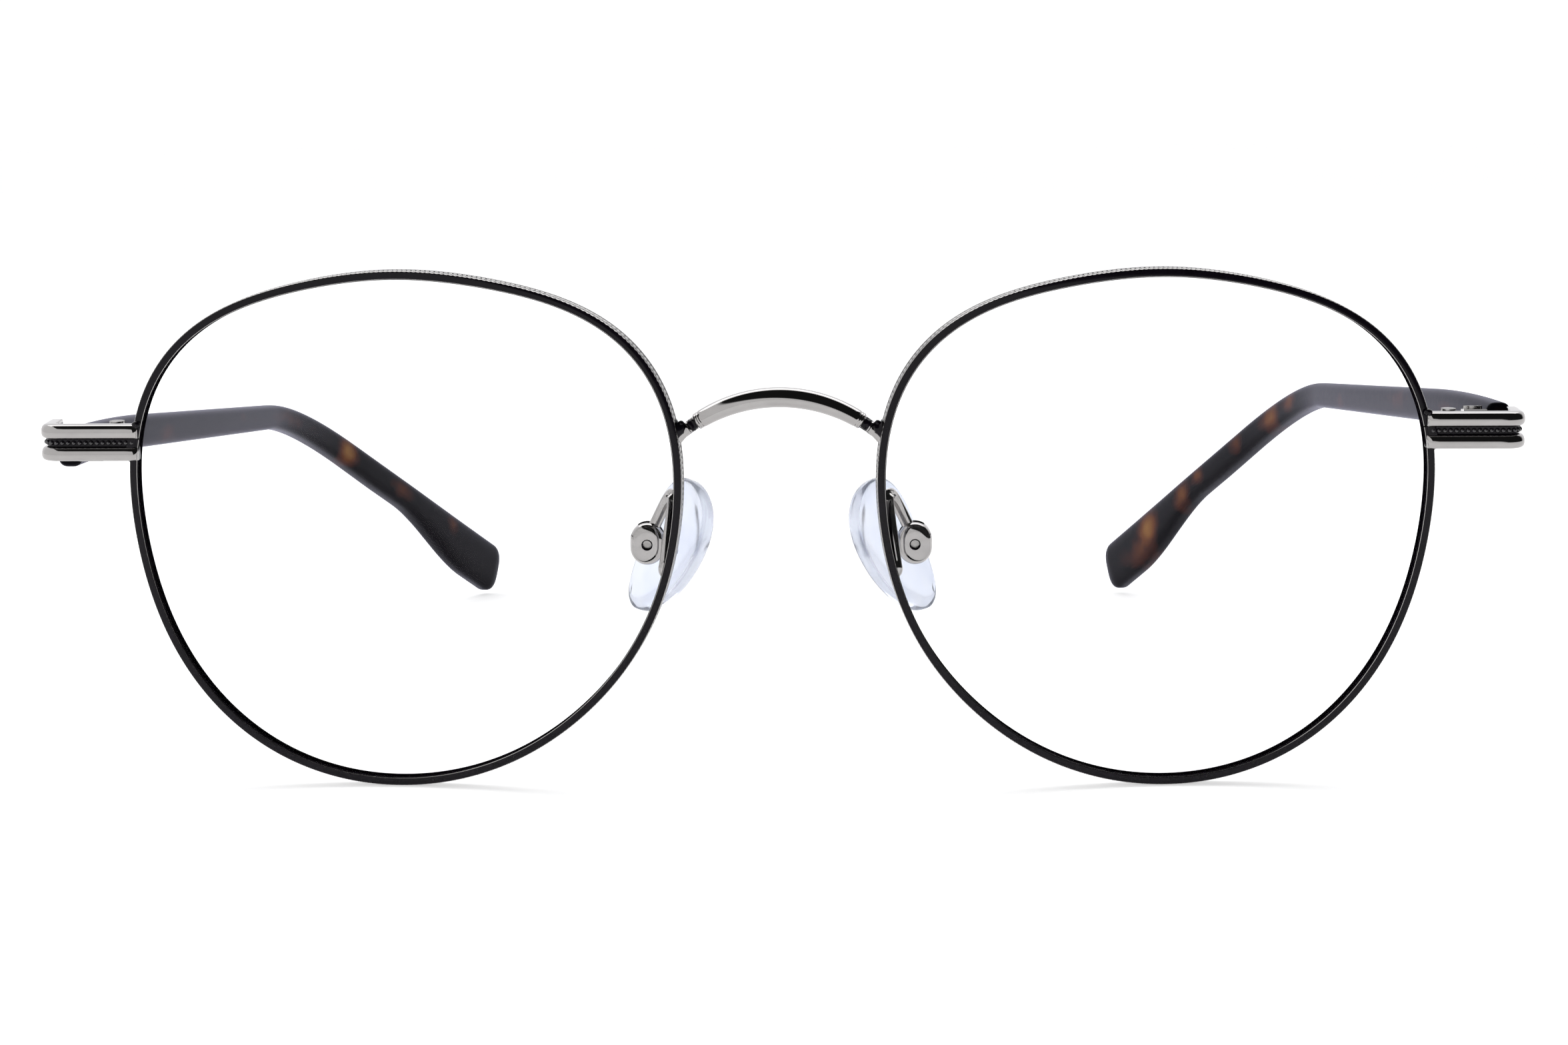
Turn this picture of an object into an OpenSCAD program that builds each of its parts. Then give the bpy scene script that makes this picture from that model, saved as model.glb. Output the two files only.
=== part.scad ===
// Round wire eyeglasses with plastic temples, open and standing on the rims and temple tips.
// The wearer looks along -Y, so the wearer's right is -X. +Z is up and the floor is Z = 0.
// Every side part is modelled on the +X side and mirrored for the other side.

/* [Rims] */
// Distance from the middle of the frame to the centre of each rim
eye_x = 35.6; // [35.3:0.1:36]
// Mean outer radius of a rim
rim_r = 25.84; // [25.7:0.01:26]
// How much wider than tall the rim is
rim_wide = 0.89; // [0.8:0.01:1]
// How far the upper corners and the chin stand out, as on a panto lens
rim_panto = 1.04; // [0.9:0.01:1.2]
// How far the sides and top flatten towards a square
rim_square = 0.41; // [0.2:0.01:0.5]
// How far the outline leans towards the nose at the top
rim_cant = 0.21; // [0:0.01:0.3]
// Width of the rim wire seen from the front
rim_w = 0.8; // [0.7:0.05:1]
// Depth of the rim wire from front to back
rim_d = 2; // [1.8:0.1:2.4]
// Radius of the sphere that the rims and lenses follow
base_r = 130; // [110:5:160]
// Angle that each rim turns back at the temple side
wrap = 4; // [3:0.5:5]
// Angle that the front leans forward when it stands on a table
lean = 2.5; // [1.5:0.5:3]
// Thickness of a lens
lens_t = 1.6; // [1.4:0.1:1.7]

/* [Bridge] */
// Radius of the bridge bar's middle line
bridge_r = 14.25; // [14:0.05:14.5]
// Height of the top of the bridge arch above the floor
bridge_top = 38.3; // [38:0.1:38.6]
// Thickness of the bridge bar seen from the front
bridge_t = 1.85; // [1.6:0.05:2]
// Half the width of the polished bridge bar
bridge_half = 7.8; // [7.5:0.1:8.1]

/* [End pieces] */
// Half the overall width of the frame
half_w = 70.4; // [70.2:0.1:70.6]
// Length of an end piece seen from the front
end_l = 9.5; // [9.3:0.1:9.7]
// Height of an end piece
end_h = 3.5; // [3.4:0.1:3.7]
// Thickness of an end piece
end_t = 1.5; // [1.4:0.1:1.6]
// Height of the middle of the end pieces above the floor
end_z = 33.3; // [32.9:0.1:33.7]
// How far the left end piece sits above that height and the right one below it
stagger = 0.4; // [0:0.1:0.5]
// Diameter of the beads in the groove
bead_d = 0.46; // [0.4:0.02:0.5]
// Distance from bead to bead
bead_pitch = 0.55; // [0.52:0.01:0.6]

/* [Temples] */
// Height of the hinges below the middle of the end pieces
hinge_low = 0.4; // [0:0.1:0.6]
// How far the left hinge sits above that height and the right hinge below it
hinge_stagger = 1.1; // [0:0.1:1.2]
// Height of a temple at the hinge
temple_h = 3.6; // [3.4:0.1:3.8]
// Height of a temple where it starts to bend
bend_h = 2.8; // [2.6:0.1:3]
// Height of the temple tip's wide end
tip_h = 6.2; // [5.8:0.1:6.6]
// Thickness of a temple
temple_t = 2.5; // [2.3:0.1:2.6]
// Distance from the hinge to the start of the bend
straight_l = 75.2; // [74:0.2:78]
// Distance from the hinge to the temple's end, measured straight back
temple_l = 132.2; // [130:0.2:134]
// Inward slope of the straight part
toe = 0.095; // [0.085:0.005:0.1]
// Extra inward slope of the tip
tip_in = 0.35; // [0.33:0.005:0.37]
// Angle that the temples fall towards the back
temple_drop = 4.1; // [3.8:0.1:4.4]
// How far a temple's upper edge rises behind the hinge before it runs straight
temple_rise = 1; // [0.8:0.1:1.2]

/* [Nose pads] */
// Length of a nose pad
pad_l = 13.6; // [13:0.1:14]
// Width of a nose pad
pad_w = 7.7; // [7.4:0.1:8]
// Thickness of a nose pad
pad_t = 2.3; // [2:0.1:2.5]

/* [Hidden] */
$fn = 48;

lacquer = [0.05, 0.05, 0.06];
gunmetal = [0.62, 0.61, 0.62];
tortoise = [0.2, 0.12, 0.08];
clear_lens = [0.85, 0.92, 0.95, 0.35];
silicone = [0.85, 0.88, 0.95, 0.6];

// Gap between neighbouring pieces of one rigid group
seam = 0.03;

// --- Placing ---------------------------------------------------------------------------

// Half the front-to-back length, which puts the origin under the middle of the object
mid_y = 66.38;
// Rim centre above the floor, so that the chin of each rim just meets it
eye_z = 25.57;
// Rim centre behind the nasal edge
eye_y = 1.8;
// Middle of the rim wire's depth on the sphere, seen from the sphere's front point
sag = rim_r * rim_r / (2 * base_r);

// The front's own frame: upright, with the nasal edges of the rims near y = 0
module front() translate([0, -mid_y, 0]) rotate([lean, 0, 0]) children();

// Puts a piece modelled on the +X side there (s = 1) or mirrors it to -X (s = -1)
module side(s) mirror([s < 0 ? 1 : 0, 0, 0]) children();

// One rim's frame: x towards the temple, y back, z up
module eye() translate([eye_x, eye_y, eye_z]) rotate([0, 0, wrap]) children();

// --- Rim outline -----------------------------------------------------------------------

rim_points = 96;

// Outer radius of the rim at an angle counted from the temple side upwards
function rim_radius(a) =
    rim_r + rim_wide * cos(2 * a) - rim_cant * sin(2 * a)
    - 0.16 * cos(3 * a) + rim_panto * sin(3 * a)
    - rim_square * cos(4 * a) + 0.06 * sin(4 * a)
    + 0.09 * sin(5 * a) - 0.15 * cos(6 * a) + 0.03 * sin(6 * a) - 0.07 * sin(7 * a);

function rim_outline(grow) =
    [for (i = [0:rim_points - 1])
        let (a = 360 * i / rim_points, r = rim_radius(a) + grow)
        [r * cos(a), r * sin(a)]];

// A prism with the rim's outline, grown or shrunk, through the whole depth
module rim_prism(grow) {
    rotate([90, 0, 0])
        linear_extrude(16, center = true)
            polygon(rim_outline(grow));
}

// The space between two spheres that share the frame's base curve
module curved_sheet(front_depth, thick) {
    translate([0, base_r - rim_d / 2 - sag, 0])
        difference() {
            rotate([90, 0, 0]) sphere(base_r - front_depth, $fn = 96);
            rotate([90, 0, 0]) sphere(base_r - front_depth - thick, $fn = 96);
        }
}

// What a neighbour may not enter: the rim's outline between two depths in the rim's frame
module rim_cut(from, to) {
    eye() intersection() {
        rim_prism(seam);
        translate([-40, from, -40]) cube([80, to - from, 80]);
    }
}

// --- Rims and lenses -------------------------------------------------------------------

groove_deep = 0.33;
groove_w = 1;
// The rim is cut just above the middle of the end piece, where the lock closes it
split_up = 0.5;
split_gap = 0.12;

module rim_wire(s) {
    split_z = end_z + s * stagger + split_up - eye_z;
    color(lacquer) front() side(s) eye() difference() {
        intersection() {
            difference() {
                rim_prism(0);
                rim_prism(-rim_w);
            }
            curved_sheet(0, rim_d);
        }
        intersection() {
            rim_prism(groove_deep - rim_w);
            curved_sheet((rim_d - groove_w) / 2, groove_w);
        }
        translate([rim_r - 4, -6, split_z - split_gap / 2]) cube([8, 12, split_gap]);
    }
}

module lens(s) {
    tongue_w = groove_w - 0.1;
    color(clear_lens) front() side(s) eye() union() {
        intersection() {
            rim_prism(-rim_w - seam);
            curved_sheet(0.15, lens_t);
        }
        intersection() {
            rim_prism(groove_deep - rim_w - 0.05);
            curved_sheet((rim_d - tongue_w) / 2, tongue_w);
        }
    }
}

// --- Bridge ----------------------------------------------------------------------------

bridge_y = 0.4;
bridge_z = bridge_top - bridge_r - bridge_t / 2;
neck_r = 0.65;
foot_r = 1.05;
foot_x = 9.5;
foot_up = 0.4;

// An arc of the bridge line with the section given as children in (radius, front) axes
module bridge_arc(from, to) {
    translate([0, bridge_y, bridge_z])
        rotate([90, 0, 0])
            rotate([0, 0, from])
                rotate_extrude(angle = to - from, $fn = 128)
                    children();
}

module bridge() {
    bar_angle = asin(bridge_half / bridge_r);
    foot_angle = asin(foot_x / bridge_r);
    foot_z = bridge_z + bridge_r * cos(foot_angle);
    color(gunmetal) front() difference() {
        union() {
            // Polished bar, half round in front and flat behind
            bridge_arc(90 - bar_angle, 90 + bar_angle) {
                translate([bridge_r, 0.05]) circle(bridge_t / 2);
                translate([bridge_r - bridge_t / 2, -0.95]) square([bridge_t, 1]);
            }
            // Thin necks that run on to the rims
            bridge_arc(90 - foot_angle, 90 + foot_angle)
                translate([bridge_r, 0]) circle(neck_r);
            // Solder feet
            for (s = [-1, 1])
                translate([s * foot_x, bridge_y, foot_z + foot_up]) sphere(foot_r);
        }
        for (s = [-1, 1]) side(s) rim_cut(-7, 7);
    }
}

// --- End pieces ------------------------------------------------------------------------

end_front = 2.3;
end_back = end_front + end_t;
corner_r = 1.9;
ridge_r = 0.7;
slab_t = end_t - 0.45;
hinge_y = 6.9;
leg_gap = 0.15;
leg_x = half_w - end_t;

// Section of the bar: a flat slab with two half-round ridges. x is the depth from the back
module end_section() {
    translate([0, -end_h / 2 + 0.1]) square([slab_t, end_h - 0.2]);
    for (v = [-1, 1])
        translate([end_t - ridge_r, v * (end_h / 2 - ridge_r)]) circle(ridge_r);
    for (v = [-1, 1])
        translate([0, v * (end_h / 2 - ridge_r) - ridge_r]) square([end_t - ridge_r, 2 * ridge_r]);
}

// Beads run along the groove's floor, round the corner and back along the side
module bead_row(first_x) {
    bead_up = 0.05;
    flat = half_w - corner_r - first_x;
    bend_r = corner_r - (end_t - slab_t) + bead_up;
    bend = bend_r * PI / 2;
    count = floor((flat + bend + 2) / bead_pitch);
    for (i = [0:count]) {
        d = i * bead_pitch;
        turn = max(0, min(90, (d - flat) / bend * 90));
        past = max(0, d - flat - bend);
        translate([
            first_x + min(d, flat) + bend_r * sin(turn),
            end_front + corner_r - bend_r * cos(turn) + past,
            0
        ]) sphere(bead_d / 2, $fn = 24);
    }
}

module end_piece(s) {
    inner_x = half_w - end_l;
    color(gunmetal) front() side(s) difference() {
        translate([0, 0, end_z + s * stagger]) union() {
            // Front bar
            translate([inner_x, end_back, 0])
                rotate([90, 0, 90])
                    linear_extrude(half_w - corner_r - inner_x)
                        mirror([1, 0]) end_section();
            // Rounded corner
            translate([half_w - corner_r, end_front + corner_r, 0])
                rotate([0, 0, -90])
                    rotate_extrude(angle = 90)
                        translate([corner_r - end_t, 0]) end_section();
            // Leg that runs back to the hinge
            translate([leg_x, end_front + corner_r, 0])
                rotate([90, 0, 180])
                    linear_extrude(hinge_y - end_front - corner_r + 1)
                        mirror([1, 0]) end_section();
            bead_row(inner_x + 1.2);
        }
        rim_cut(-rim_d / 2 - seam, 7);
        hinge_end_cut(s);
    }
}

// Everything behind the plane that the open temple's front end butts against
module hinge_end_cut(s) {
    translate([hinge_x, hinge_y, hinge_z(s)])
        rotate([-temple_drop - lean, 0, 0])
            translate([-10, -leg_gap, -10]) cube([20, 10, 20]);
}

// --- Rim locks -------------------------------------------------------------------------

lock_x = 63.25;
lock_w = 2.8;
lock_y = 4.85;
lock_deep = 1.7;
lock_h = 1.9;
// How far the lock's top stays below the end piece's top
lock_low = 0.35;
lock_screw_r = 0.45;

function split_height(s) = end_z + s * stagger + split_up;

// One half of the lock block, its top or bottom face at the rim's cut
module lock_half(s, z0, height) {
    color(gunmetal) front() side(s) difference() {
        translate([61, end_back + seam, z0]) cube([lock_x + lock_w / 2 - 61, lock_deep, height]);
        rim_cut(-7, 7);
        translate([lock_x, lock_y, z0 - 1]) cylinder(h = height + 2, r = lock_screw_r + seam);
    }
}

module rim_lock_upper(s) {
    lock_half(s, split_height(s) + split_gap / 2, end_h / 2 - lock_low - split_up - split_gap / 2);
}

module rim_lock_lower(s) {
    lock_half(s, split_height(s) - split_gap / 2 - lock_h, lock_h);
}

module rim_lock_screw(s) {
    head_r = 0.72;
    head_h = 0.45;
    top = end_z + s * stagger + end_h / 2 - lock_low;
    bottom = split_height(s) - split_gap / 2 - lock_h;
    color(gunmetal) front() side(s) translate([lock_x, lock_y, 0]) difference() {
        union() {
            translate([0, 0, bottom]) cylinder(h = top - bottom + 0.1, r = lock_screw_r);
            translate([0, 0, top]) cylinder(h = head_h, r = head_r);
        }
        translate([-1, -0.12, top + head_h - 0.22]) cube([2, 0.24, 1]);
    }
}

// --- Hinges ----------------------------------------------------------------------------

hinge_x = 65.9;
barrel_r = 1.1;
hinge_screw_r = 0.55;
bore_clear = 0.03;
hinge_h = 2.4;
knuckle_h = 0.9;
knuckle_gap = 0.04;
// Middle of the temple outside the hinge axis
temple_out = 2.5;
toe_angle = atan(toe);
shank_r = 0.45;
shank_l = 9;
core_end = 72;
// The shank and core wire climb a little to stay in the middle of the temple
core_tilt = atan(temple_rise / core_end);

function hinge_z(s) = end_z - hinge_low + s * hinge_stagger;

// The hinge's frame: origin on the axis, y back along the open temple, z along the axis
module hinge(s) {
    z = hinge_z(s);
    translate([0, -mid_y, 0])
        side(s)
            translate([
                hinge_x,
                hinge_y * cos(lean) - z * sin(lean),
                hinge_y * sin(lean) + z * cos(lean)
            ])
                rotate([-temple_drop, 0, 0])
                    children();
}

// Two ears on a block soldered behind the end piece
module front_hinge(s) {
    block_deep = 1.65;
    block_h = 1.5;
    ear_h = (hinge_h - knuckle_h) / 2 - knuckle_gap;
    color(gunmetal) difference() {
        union() {
            front() side(s)
                translate([64.85, end_back + seam, hinge_z(s) - block_h / 2])
                    cube([half_w - corner_r - seam - 64.85, block_deep, block_h]);
            hinge(s) for (z = [-hinge_h / 2, hinge_h / 2 - ear_h]) {
                translate([0, 0, z]) cylinder(h = ear_h, r = barrel_r);
                translate([-barrel_r, -1.8, z]) cube([2 * barrel_r, 1.8, ear_h]);
            }
        }
        hinge(s) cylinder(h = 6, r = hinge_screw_r + bore_clear, center = true);
        // Room for the temple's knuckle to turn
        hinge(s) translate([0, 0, -knuckle_h / 2 - knuckle_gap])
            cylinder(h = knuckle_h + 2 * knuckle_gap, r = barrel_r + 0.12);
    }
}

// One knuckle with a neck and a shank that goes into the temple
module temple_hinge(s) {
    color(gunmetal) hinge(s) difference() {
        union() {
            translate([0, 0, -knuckle_h / 2]) cylinder(h = knuckle_h, r = barrel_r);
            translate([0, 0.02, -knuckle_h / 2]) cube([temple_out, 0.9, knuckle_h]);
            translate([temple_out, 0.05, 0])
                rotate([core_tilt - 90, 0, toe_angle])
                    cylinder(h = shank_l, r = shank_r);
        }
        cylinder(h = 6, r = hinge_screw_r + bore_clear, center = true);
    }
}

module hinge_screw(s) {
    head_r = 0.9;
    head_h = 0.3;
    color(gunmetal) hinge(s) difference() {
        union() {
            translate([0, 0, -hinge_h / 2]) cylinder(h = hinge_h + 0.1, r = hinge_screw_r);
            translate([0, 0, hinge_h / 2]) cylinder(h = head_h, r = head_r);
        }
        translate([-1, -0.13, hinge_h / 2 + head_h - 0.2]) cube([2, 0.26, 1]);
    }
}

// --- Sweeps ----------------------------------------------------------------------------

function unit(v) = v / norm(v);

// Closed ring of points with rounded corners: width a, height b, and p for squareness
ring_points = 16;
function ring(a, b, p) =
    [for (i = [0:ring_points - 1])
        let (t = 360 * (i + 0.5) / ring_points, c = cos(t), s = sin(t))
        [a / 2 * sign(c) * pow(abs(c), 2 / p), b / 2 * sign(s) * pow(abs(s), 2 / p)]];

// Skin over rings of equal length, closed at both ends
module skin(rings) {
    n = ring_points;
    m = len(rings);
    points = [for (r = rings) each r];
    walls = [for (j = [0:m - 2]) for (i = [0:n - 1])
        [j * n + i, j * n + (i + 1) % n, (j + 1) * n + (i + 1) % n, (j + 1) * n + i]];
    first = [for (i = [n - 1:-1:0]) i];
    last = [for (i = [0:n - 1]) (m - 1) * n + i];
    polyhedron(points = points, faces = concat([first], walls, [last]), convexity = 4);
}

// --- Temples ---------------------------------------------------------------------------

bend_l = 24.5;
tip_top = 5.5;
core_r = 0.55;
core_clear = 0.05;
rise_l = 25;

// Distance gained by a line that starts to lean at the bend and has its full slope after it
function lean_in(y) =
    let (q = y - straight_l)
    q <= 0 ? 0 : q < bend_l ? q * q / (2 * bend_l) : q - bend_l / 2;

// Height gained behind the hinge
function rise(y) = temple_rise * (1 - pow(1 - max(0, min(1, y / rise_l)), 2));

// Downward slope of the tip that brings its end down to the table
function tip_down(s) =
    let (z = hinge_z(s),
         hinge_up = hinge_y * sin(lean) + z * cos(lean),
         end_up = (temple_l * sin(temple_drop) + tip_top - hinge_up) / cos(temple_drop))
    (temple_h / 2 + temple_rise - end_up) / lean_in(temple_l);

// Middle of the temple's top edge
function temple_top(y, down) = [
    temple_out - toe * y - tip_in * lean_in(y),
    y,
    temple_h / 2 + rise(y) - down * lean_in(y)
];

// Height of the temple: it narrows to the bend and widens into the tip
function temple_height(y) =
    let (flare = max(0, min(1, (y - temple_l + 22) / 16)))
    y < straight_l
        ? temple_h + (bend_h - temple_h) * max(0, y) / straight_l
        : bend_h + (3.3 - bend_h) * min(1, (y - straight_l) / 30)
            + (tip_h - 3.3) * flare * flare * (3 - 2 * flare);

// Rounding of the tip's end: 1 along the temple, falling to 0.55 at the very end
round_l = 1.6;
function end_round(y) =
    let (q = max(0, (y - temple_l + round_l) / round_l))
    1 - 0.45 * (1 - sqrt(max(0, 1 - q * q)));

function temple_ring(y, down) =
    let (p = temple_top(y, down),
         ahead = temple_top(y + 0.1, down),
         along = unit(ahead - p),
         out = unit([along[1], -along[0], 0]),
         up = cross(out, along),
         h = temple_height(y),
         k = end_round(y))
    [for (q = ring(temple_t * k, h * k, 3.2)) p + out * q[0] + up * (q[1] - h / 2)];

// Places of the rings: few on the straight, close together on the bend and the end
temple_steps = concat(
    [-0.05, 1, 5, 9, 13, 17, 21, 25, 40, 60, straight_l],
    [for (i = [1:12]) straight_l + i * 2.2],
    [for (i = [0:10]) temple_l - 27 + i * 2.4],
    [temple_l - round_l, temple_l - 1, temple_l - 0.5, temple_l - 0.2, temple_l]
);

module temple(s) {
    down = tip_down(s);
    color(tortoise) hinge(s) difference() {
        skin([for (y = temple_steps) temple_ring(y, down)]);
        // Notch for the hinge's neck
        translate([0, -1, -knuckle_h / 2 - core_clear])
            cube([temple_out + 0.7, 1.95, knuckle_h + 2 * core_clear]);
        // Bore for the shank and the core wire
        translate([temple_out, 0.05, 0])
            rotate([core_tilt - 90, 0, toe_angle])
                cylinder(h = core_end + 0.1, r = core_r + core_clear);
    }
}

module temple_core(s) {
    color(gunmetal) hinge(s)
        translate([temple_out, 0.05, 0])
            rotate([core_tilt - 90, 0, toe_angle])
                translate([0, 0, shank_l]) cylinder(h = core_end - shank_l, r = core_r);
}

// --- Nose pads -------------------------------------------------------------------------

box_at = [12.8, 5.6, 22.7];
box_r = 1.65;
cheek = 0.85;
slot_w = 1.1;
box_deep = 2 * cheek + slot_w;
pad_screw_r = 0.5;
pad_at = [10.45, 8.5, 21.8];
pad_tilt = 25;
pad_splay = 45;

// Cubic curve through the arm: from the rim's back, up over a loop and down to the box
arm_curve = [[11, 1.3, 20.9], [9.9, 3, 28.9], [9.7, 6.6, 29.4], [12.4, 5.6, 23.8]];
function bezier(c, t) =
    pow(1 - t, 3) * c[0] + 3 * t * pow(1 - t, 2) * c[1]
    + 3 * t * t * (1 - t) * c[2] + pow(t, 3) * c[3];

function arm_ring(t) =
    let (p = bezier(arm_curve, t),
         along = unit(bezier(arm_curve, t + 0.01) - p),
         out = unit(cross(along, [0, 1, 0.3])),
         back = cross(out, along))
    [for (q = ring(1.3, 0.8, 2.4)) p + out * q[0] + back * q[1]];

module pad_arm(s) {
    color(gunmetal) front() side(s) difference() {
        union() {
            skin([for (i = [0:20]) arm_ring(i / 20)]);
            // Solder spot on the rim's back
            translate([10.8, 0.63, 20.8]) rotate([-90, 0, 0]) cylinder(h = 1.2, r = 0.77);
            // Box that holds the pad's tab
            translate(box_at) rotate([90, 0, 0])
                linear_extrude(box_deep, center = true) {
                    translate([0, 0.35]) circle(box_r);
                    translate([0, -0.35]) circle(box_r);
                    translate([-box_r, -0.35]) square([2 * box_r, 0.7]);
                }
        }
        rim_cut(-7, rim_d / 2 + 0.15);
        translate(box_at) rotate([90, 0, 0]) {
            cylinder(h = slot_w, r = 1.35, center = true);
            cylinder(h = 8, r = pad_screw_r + 0.02, center = true);
        }
        translate(box_at + [-4, -slot_w / 2, -3]) cube([4, slot_w, 6]);
    }
}

function pad_ring(u) =
    let (h = pad_l / 2,
         long = [-sin(pad_tilt), 0, cos(pad_tilt)],
         flat = [-cos(pad_splay), sin(pad_splay), 0],
         face = unit(flat - (flat * long) * long),
         across = cross(long, face),
         k = pow(1 - pow(abs(u), 2.3), 1 / 2.3),
         bow = -1.1 * u * u)
    [for (q = ring(pad_w * k * (1 + 0.12 * u), pad_t * (0.35 + 0.65 * k), 2.3))
        pad_at + long * h * u + across * q[0] + face * (q[1] + bow)];

module nose_pad(s) {
    steps = [for (i = [-10:10]) sin(i * 8.8)];
    tab_w = slot_w - 0.1;
    color(silicone) front() side(s) difference() {
        union() {
            skin([for (u = steps) pad_ring(u)]);
            translate(box_at) rotate([90, 0, 0]) cylinder(h = tab_w, r = 1.2, center = true);
            translate([10.2, box_at[1] - tab_w / 2, box_at[2] - 1]) cube([2.4, tab_w, 2]);
            translate([9.9, box_at[1] - tab_w / 2, box_at[2] - 1]) cube([1.1, 3, 2]);
        }
        translate(box_at) rotate([90, 0, 0])
            cylinder(h = 8, r = pad_screw_r + 0.04, center = true);
    }
}

module pad_screw(s) {
    head_r = 0.8;
    head_h = 0.45;
    back = box_at[1] + box_deep / 2;
    tip = box_at[1] - box_deep / 2 + 0.6;
    color(gunmetal) front() side(s) difference() {
        union() {
            translate([box_at[0], tip, box_at[2]])
                rotate([-90, 0, 0]) cylinder(h = back - tip + 0.1, r = pad_screw_r);
            translate([box_at[0], back, box_at[2]])
                rotate([-90, 0, 0]) cylinder(h = head_h, r = head_r);
        }
        translate([box_at[0] - 1, back + head_h - 0.2, box_at[2] - 0.12]) cube([2, 1, 0.24]);
    }
}

// --- Nodes -----------------------------------------------------------------------------
// The wearer's right side is s = -1 and the left side is s = 1

rim_wire(-1);  // rim_right
rim_wire(1);  // rim_left
lens(-1);  // lens_right
lens(1);  // lens_left
bridge();
end_piece(-1);  // end_piece_right
end_piece(1);  // end_piece_left
rim_lock_upper(-1);  // rim_lock_upper_right
rim_lock_upper(1);  // rim_lock_upper_left
rim_lock_lower(-1);  // rim_lock_lower_right
rim_lock_lower(1);  // rim_lock_lower_left
rim_lock_screw(-1);  // rim_lock_screw_right
rim_lock_screw(1);  // rim_lock_screw_left
pad_arm(-1);  // pad_arm_right
pad_arm(1);  // pad_arm_left
nose_pad(-1);  // nose_pad_right
nose_pad(1);  // nose_pad_left
pad_screw(-1);  // pad_screw_right
pad_screw(1);  // pad_screw_left
front_hinge(-1);  // front_hinge_right
front_hinge(1);  // front_hinge_left
temple_hinge(-1);  // temple_hinge_right
temple_hinge(1);  // temple_hinge_left
hinge_screw(-1);  // hinge_screw_right
hinge_screw(1);  // hinge_screw_left
temple_core(-1);  // temple_core_right
temple_core(1);  // temple_core_left
temple(-1);  // temple_right
temple(1);  // temple_left
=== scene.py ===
# Looks for the round wire eyeglasses. Sizes below are in millimetres and repeat the CAD's;
# outward() turns them into metres. The wearer looks along -Y and the wearer's right is -X.
import math

import bmesh
import bpy
import numpy as np
from mathutils import Euler, Matrix, Vector


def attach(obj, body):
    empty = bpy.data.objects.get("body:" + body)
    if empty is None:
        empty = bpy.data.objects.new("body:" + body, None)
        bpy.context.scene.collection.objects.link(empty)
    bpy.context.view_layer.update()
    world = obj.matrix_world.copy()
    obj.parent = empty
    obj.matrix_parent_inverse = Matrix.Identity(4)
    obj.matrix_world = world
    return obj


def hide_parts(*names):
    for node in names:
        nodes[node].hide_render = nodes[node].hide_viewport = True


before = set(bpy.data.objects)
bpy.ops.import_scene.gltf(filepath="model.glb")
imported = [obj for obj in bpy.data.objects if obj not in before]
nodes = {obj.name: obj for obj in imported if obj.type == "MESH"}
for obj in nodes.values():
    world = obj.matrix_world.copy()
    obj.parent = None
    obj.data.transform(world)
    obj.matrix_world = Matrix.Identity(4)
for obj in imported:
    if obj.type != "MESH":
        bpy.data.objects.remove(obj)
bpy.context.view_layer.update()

# --- Sizes -------------------------------------------------------------------------------

# The front: its lean, each rim's wrap, and where its origin and the rims' middles lie
LEAN, WRAP = math.radians(2.5), math.radians(4)
MID_Y = 66.38
EYE = np.array([35.6, 1.8, 25.57])

# Rims and lenses: base curve, mean outer radius, wire width and depth; the groove's own depth
# in the inner wall, and where it starts and ends behind the front face
BASE_R, RIM_R, RIM_W, RIM_D = 130.0, 25.84, 0.8, 2.0
GROOVE, GROOVE_FRONT, GROOVE_BACK = 0.33, 0.5, 1.5
SHEET_Y = BASE_R - RIM_D / 2 - RIM_R**2 / (2 * BASE_R)
# The wire's rounded edges, and the notches round its outer side
EDGE_R, KNURLS, KNURL_DEPTH = 0.14, 340, 0.06

# End pieces: middle height, how far the left one is above it and the right one below it, the
# rims' split above them, half the overall width, length across, thickness, corner radius and
# the place of their front faces. The slope makes the bar's end square to the falling temple.
END_Z, STAGGER, SPLIT_UP = 33.3, 0.4, 0.5
HALF_W, END_L, END_T, CORNER_R, END_FRONT = 70.4, 9.5, 1.5, 1.9, 2.3
END_SLOPE = 0.116
# The bar's ridges: height of their middles, half their height, depth, power and lean
RIDGE_AT, RIDGE_HALF, RIDGE_DEPTH, RIDGE_POWER, RIDGE_LEAN = 1.06, 0.69, 0.62, 2.5, 0.1
# The beads between the ridges
BEAD_R, BEAD_STEP = 0.235, 0.55

# Bridge: radius of the arch, height of its centre, depth, and how far its front leans back
BRIDGE_R, BRIDGE_Z, BRIDGE_Y, BRIDGE_LEAN = 14.25, 23.125, 0.4, 0.18

# Nose pads: middle of the arm's box, its radius and half its depth, and middle of the pad
BOX_AT, BOX_R, BOX_HALF = np.array([12.8, 5.6, 22.7]), 1.63, 1.4
PAD_AT = np.array([10.45, 8.5, 21.8])

# Hinges: place of the axis, how far the middle sits below the end pieces', and how far the left
# one is above that and the right one below it
HINGE, HINGE_LOW, HINGE_STAGGER = np.array([65.9, 6.9]), 0.4, 1.1

# Temples: fall towards the tips and toe-in; straight, whole and bend length; the tip's inward
# slope and the distance outside the hinge's axis
DROP, TOE = math.radians(4.1), 0.095
STRAIGHT_L, TEMPLE_L, BEND_L, TIP_IN, TEMPLE_OUT = 75.2, 132.2, 24.5, 0.35, 2.5
# How far a temple rises behind its hinge and over what length, and where its core wire ends
RISE, RISE_L, CORE_END = 1.0, 25.0, 72.0
# Heights at the hinge, the bend, the neck and the paddle, and the thickness
TEMPLE_H, BEND_H, NECK_H, TIP_H, TEMPLE_T = 3.6, 2.8, 3.3, 6.2, 2.5
# The tip's top above the table, and the lengths of the rounded tip and front end
TIP_TOP, TIP_ROUND, FRONT_ROUND = 5.5, 1.6, 0.3


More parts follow.
